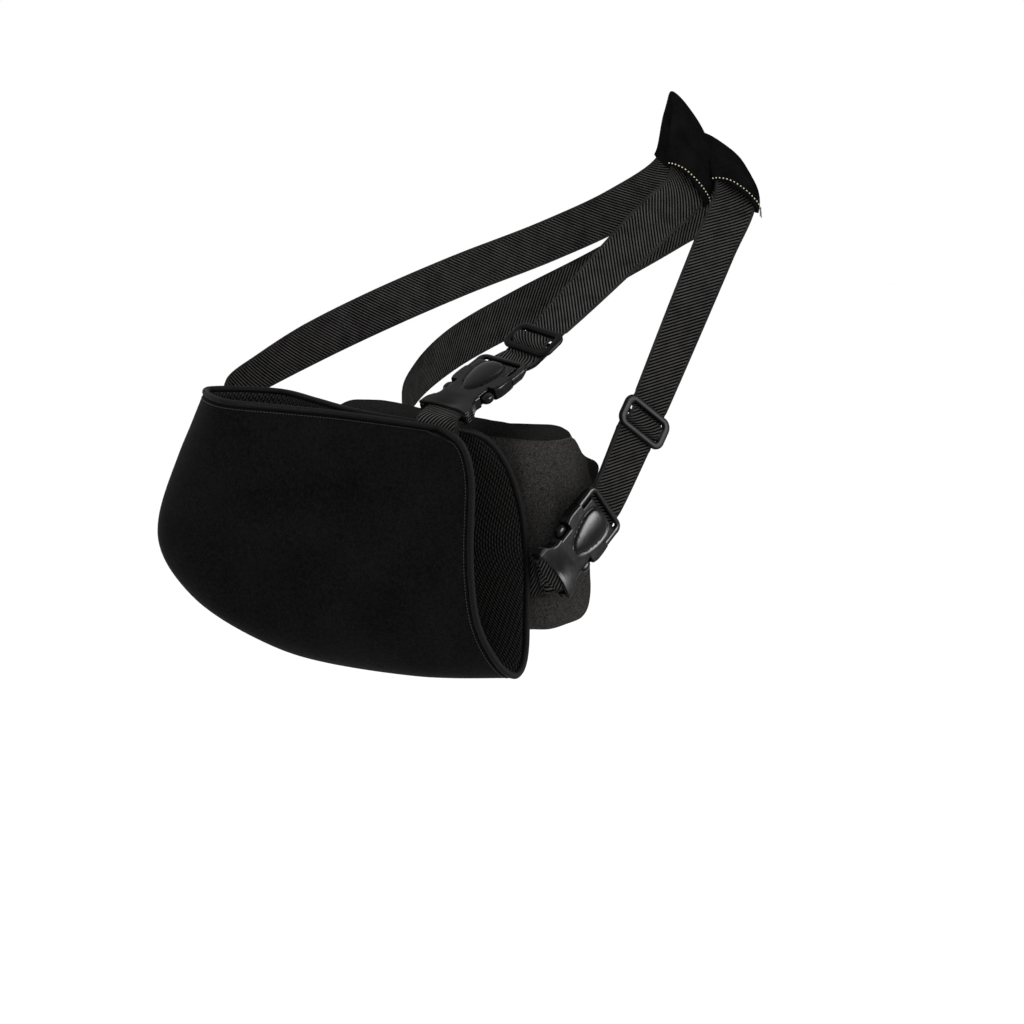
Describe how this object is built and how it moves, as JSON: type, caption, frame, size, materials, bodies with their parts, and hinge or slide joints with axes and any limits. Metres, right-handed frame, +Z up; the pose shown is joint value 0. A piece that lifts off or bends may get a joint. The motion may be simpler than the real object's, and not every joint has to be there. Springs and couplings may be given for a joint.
{
  "type": "abduction arm sling",
  "caption": "Abduction arm sling: open forearm pouch on a foam pillow, hung from straps with side-release buckles and slides that share a shoulder pad.",
  "frame": {"origin": "seat under the shoulder pad, where the sling hangs when worn", "axes": "+X along the forearm to the hand end of the pouch, +Z up, -Y away from the body side of the pillow"},
  "size_m": [0.4133, 0.4523, 0.4626],
  "materials": {
    "pouch_cloth": "matt black cloth",
    "edge_binding": "ribbed black tape",
    "pillow_cloth": "charcoal brushed loop cloth",
    "webbing": "black twill webbing",
    "pad_cloth": "smooth black cloth",
    "buckle_plastic": "satin black moulding"
  },
  "bodies": {
    "root": {"pouch_front_wall": "pouch_cloth", "pouch_back_wall": "pouch_cloth", "pouch_binding": "edge_binding", "abduction_pillow": "pillow_cloth", "pouch_tab": "webbing", "pillow_tab": "webbing", "pouch_strap": "webbing", "pillow_strap": "webbing", "shoulder_pad": "pad_cloth", "pouch_buckle_socket": "buckle_plastic", "pouch_buckle_plug": "buckle_plastic", "pillow_buckle_socket": "buckle_plastic", "pillow_buckle_plug": "buckle_plastic", "pouch_strap_adjuster": "buckle_plastic", "pillow_strap_adjuster": "buckle_plastic"}
  },
  "joints": []
}
